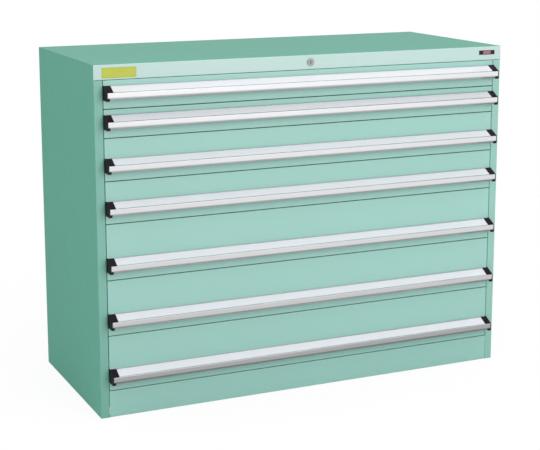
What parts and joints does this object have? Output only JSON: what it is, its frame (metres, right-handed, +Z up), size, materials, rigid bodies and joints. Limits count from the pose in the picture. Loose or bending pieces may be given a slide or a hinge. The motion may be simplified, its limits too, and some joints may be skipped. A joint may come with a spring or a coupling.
{
  "type": "industrial drawer cabinet",
  "caption": "Wide sheet-steel drawer cabinet with shallow to deep drawers on roller rails, full-width aluminium label pulls with black end caps, and a keyed header lock.",
  "frame": {"origin": "on the floor, under the middle of the closed cabinet's bounding box", "axes": "front faces -Y, +X to the right seen from the front, +Z up"},
  "size_m": [1.3, 0.584, 1],
  "materials": {
    "shell_paint": "satin powder coat, pale green",
    "front_paint": "satin powder coat, pale green",
    "box_paint": "satin powder coat, pale green",
    "zinc": "zinc plated",
    "pull_aluminium": "anodised, satin",
    "cap_plastic": "black moulding",
    "roller_steel": "hardened rolling surface",
    "lock_chrome": "polished",
    "plate_black": "gloss black, blank",
    "label_strip": "plain strip under a clear cover",
    "notice_label": "plain yellow adhesive label"
  },
  "bodies": {
    "cabinet": {"top_panel": "shell_paint", "side_panel_left": "shell_paint", "side_panel_right": "shell_paint", "back_panel": "shell_paint", "bottom_panel": "shell_paint", "plinth_panel": "shell_paint", "base_rails": "shell_paint", "rail_posts": "zinc", "fixed_rails": "zinc", "lock_body": "lock_chrome", "crank_bracket": "zinc", "name_plate": "plate_black", "panel_screws": "zinc"},
    "drawer_1": {"drawer_box_1": "box_paint", "drawer_front_1": "front_paint", "pull_1": "pull_aluminium", "pull_end_caps_1": "cap_plastic"},
    "drawer_1_rear_rollers": {"rear_rollers_1": "roller_steel"},
    "drawer_1_front_rollers": {"front_rollers_1": "roller_steel"},
    "drawer_2": {"drawer_box_2": "box_paint", "drawer_front_2": "front_paint", "pull_2": "pull_aluminium", "pull_end_caps_2": "cap_plastic"},
    "drawer_2_rear_rollers": {"rear_rollers_2": "roller_steel"},
    "drawer_2_front_rollers": {"front_rollers_2": "roller_steel"},
    "drawer_3": {"drawer_box_3": "box_paint", "drawer_front_3": "front_paint", "pull_3": "pull_aluminium", "pull_end_caps_3": "cap_plastic"},
    "drawer_3_rear_rollers": {"rear_rollers_3": "roller_steel"},
    "drawer_3_front_rollers": {"front_rollers_3": "roller_steel"},
    "drawer_4": {"drawer_box_4": "box_paint", "drawer_front_4": "front_paint", "pull_4": "pull_aluminium", "pull_end_caps_4": "cap_plastic"},
    "drawer_4_rear_rollers": {"rear_rollers_4": "roller_steel"},
    "drawer_4_front_rollers": {"front_rollers_4": "roller_steel"},
    "drawer_5": {"drawer_box_5": "box_paint", "drawer_front_5": "front_paint", "pull_5": "pull_aluminium", "pull_end_caps_5": "cap_plastic"},
    "drawer_5_rear_rollers": {"rear_rollers_5": "roller_steel"},
    "drawer_5_front_rollers": {"front_rollers_5": "roller_steel"},
    "drawer_6": {"drawer_box_6": "box_paint", "drawer_front_6": "front_paint", "pull_6": "pull_aluminium", "pull_end_caps_6": "cap_plastic"},
    "drawer_6_rear_rollers": {"rear_rollers_6": "roller_steel"},
    "drawer_6_front_rollers": {"front_rollers_6": "roller_steel"},
    "drawer_7": {"drawer_box_7": "box_paint", "drawer_front_7": "front_paint", "pull_7": "pull_aluminium", "pull_end_caps_7": "cap_plastic"},
    "drawer_7_rear_rollers": {"rear_rollers_7": "roller_steel"},
    "drawer_7_front_rollers": {"front_rollers_7": "roller_steel"},
    "lock_plug": {"lock_plug": "lock_chrome", "lock_cam": "zinc"},
    "lock_link": {"lock_link": "zinc"},
    "bell_crank": {"bell_crank": "zinc"},
    "lock_bar": {"lock_bar": "zinc"}
  },
  "joints": [
    {"name": "drawer_1_slide", "type": "slide", "parent": "cabinet", "child": "drawer_1", "axis": [0, -1, 0], "range_m": [0, 0.4]},
    {"name": "drawer_1_rear_rollers_turn", "type": "hinge", "parent": "drawer_1", "child": "drawer_1_rear_rollers", "pos_m": [0, 0.2404, 0.902], "axis": [1, 0, 0], "continuous": true},
    {"name": "drawer_1_front_rollers_turn", "type": "hinge", "parent": "cabinet", "child": "drawer_1_front_rollers", "pos_m": [0, -0.222, 0.902], "axis": [1, 0, 0], "continuous": true},
    {"name": "drawer_2_slide", "type": "slide", "parent": "cabinet", "child": "drawer_2", "axis": [0, -1, 0], "range_m": [0, 0.4]},
    {"name": "drawer_2_rear_rollers_turn", "type": "hinge", "parent": "drawer_2", "child": "drawer_2_rear_rollers", "pos_m": [0, 0.2404, 0.822], "axis": [1, 0, 0], "continuous": true},
    {"name": "drawer_2_front_rollers_turn", "type": "hinge", "parent": "cabinet", "child": "drawer_2_front_rollers", "pos_m": [0, -0.222, 0.822], "axis": [1, 0, 0], "continuous": true},
    {"name": "drawer_3_slide", "type": "slide", "parent": "cabinet", "child": "drawer_3", "axis": [0, -1, 0], "range_m": [0, 0.4]},
    {"name": "drawer_3_rear_rollers_turn", "type": "hinge", "parent": "drawer_3", "child": "drawer_3_rear_rollers", "pos_m": [0, 0.2404, 0.702], "axis": [1, 0, 0], "continuous": true},
    {"name": "drawer_3_front_rollers_turn", "type": "hinge", "parent": "cabinet", "child": "drawer_3_front_rollers", "pos_m": [0, -0.222, 0.702], "axis": [1, 0, 0], "continuous": true},
    {"name": "drawer_4_slide", "type": "slide", "parent": "cabinet", "child": "drawer_4", "axis": [0, -1, 0], "range_m": [0, 0.4]},
    {"name": "drawer_4_rear_rollers_turn", "type": "hinge", "parent": "drawer_4", "child": "drawer_4_rear_rollers", "pos_m": [0, 0.2404, 0.582], "axis": [1, 0, 0], "continuous": true},
    {"name": "drawer_4_front_rollers_turn", "type": "hinge", "parent": "cabinet", "child": "drawer_4_front_rollers", "pos_m": [0, -0.222, 0.582], "axis": [1, 0, 0], "continuous": true},
    {"name": "drawer_5_slide", "type": "slide", "parent": "cabinet", "child": "drawer_5", "axis": [0, -1, 0], "range_m": [0, 0.4]},
    {"name": "drawer_5_rear_rollers_turn", "type": "hinge", "parent": "drawer_5", "child": "drawer_5_rear_rollers", "pos_m": [0, 0.2404, 0.422], "axis": [1, 0, 0], "continuous": true},
    {"name": "drawer_5_front_rollers_turn", "type": "hinge", "parent": "cabinet", "child": "drawer_5_front_rollers", "pos_m": [0, -0.222, 0.422], "axis": [1, 0, 0], "continuous": true},
    {"name": "drawer_6_slide", "type": "slide", "parent": "cabinet", "child": "drawer_6", "axis": [0, -1, 0], "range_m": [0, 0.4]},
    {"name": "drawer_6_rear_rollers_turn", "type": "hinge", "parent": "drawer_6", "child": "drawer_6_rear_rollers", "pos_m": [0, 0.2404, 0.262], "axis": [1, 0, 0], "continuous": true},
    {"name": "drawer_6_front_rollers_turn", "type": "hinge", "parent": "cabinet", "child": "drawer_6_front_rollers", "pos_m": [0, -0.222, 0.262], "axis": [1, 0, 0], "continuous": true},
    {"name": "drawer_7_slide", "type": "slide", "parent": "cabinet", "child": "drawer_7", "axis": [0, -1, 0], "range_m": [0, 0.4]},
    {"name": "drawer_7_rear_rollers_turn", "type": "hinge", "parent": "drawer_7", "child": "drawer_7_rear_rollers", "pos_m": [0, 0.2404, 0.102], "axis": [1, 0, 0], "continuous": true},
    {"name": "drawer_7_front_rollers_turn", "type": "hinge", "parent": "cabinet", "child": "drawer_7_front_rollers", "pos_m": [0, -0.222, 0.102], "axis": [1, 0, 0], "continuous": true},
    {"name": "lock_plug_turn", "type": "hinge", "parent": "cabinet", "child": "lock_plug", "pos_m": [0, -0.258, 0.979], "axis": [0, 1, 0], "range_deg": [0, 90]},
    {"name": "lock_link_slide", "type": "slide", "parent": "cabinet", "child": "lock_link", "axis": [1, 0, 0], "range_m": [0, 0.01414]},
    {"name": "bell_crank_turn", "type": "hinge", "parent": "cabinet", "child": "bell_crank", "pos_m": [-0.62205, -0.2295, 0.96818], "axis": [0, 1, 0], "range_deg": [0, 41.41]},
    {"name": "lock_bar_slide", "type": "slide", "parent": "cabinet", "child": "lock_bar", "axis": [0, 0, 1], "range_m": [0, 0.01414]}
  ],
  "couplings": [
    {"joint": "drawer_1_rear_rollers_turn", "follows": "drawer_1_slide", "rad_per_m": 85.47},
    {"joint": "drawer_1_front_rollers_turn", "follows": "drawer_1_slide", "rad_per_m": 85.47},
    {"joint": "drawer_2_rear_rollers_turn", "follows": "drawer_2_slide", "rad_per_m": 85.47},
    {"joint": "drawer_2_front_rollers_turn", "follows": "drawer_2_slide", "rad_per_m": 85.47},
    {"joint": "drawer_3_rear_rollers_turn", "follows": "drawer_3_slide", "rad_per_m": 85.47},
    {"joint": "drawer_3_front_rollers_turn", "follows": "drawer_3_slide", "rad_per_m": 85.47},
    {"joint": "drawer_4_rear_rollers_turn", "follows": "drawer_4_slide", "rad_per_m": 85.47},
    {"joint": "drawer_4_front_rollers_turn", "follows": "drawer_4_slide", "rad_per_m": 85.47},
    {"joint": "drawer_5_rear_rollers_turn", "follows": "drawer_5_slide", "rad_per_m": 85.47},
    {"joint": "drawer_5_front_rollers_turn", "follows": "drawer_5_slide", "rad_per_m": 85.47},
    {"joint": "drawer_6_rear_rollers_turn", "follows": "drawer_6_slide", "rad_per_m": 85.47},
    {"joint": "drawer_6_front_rollers_turn", "follows": "drawer_6_slide", "rad_per_m": 85.47},
    {"joint": "drawer_7_rear_rollers_turn", "follows": "drawer_7_slide", "rad_per_m": 85.47},
    {"joint": "drawer_7_front_rollers_turn", "follows": "drawer_7_slide", "rad_per_m": 85.47},
    {"joint": "lock_plug_turn", "follows": "lock_bar_slide", "rad_per_m": 111.07},
    {"joint": "lock_link_slide", "follows": "lock_bar_slide", "ratio": 1},
    {"joint": "bell_crank_turn", "follows": "lock_bar_slide", "rad_per_m": 51.105}
  ]
}
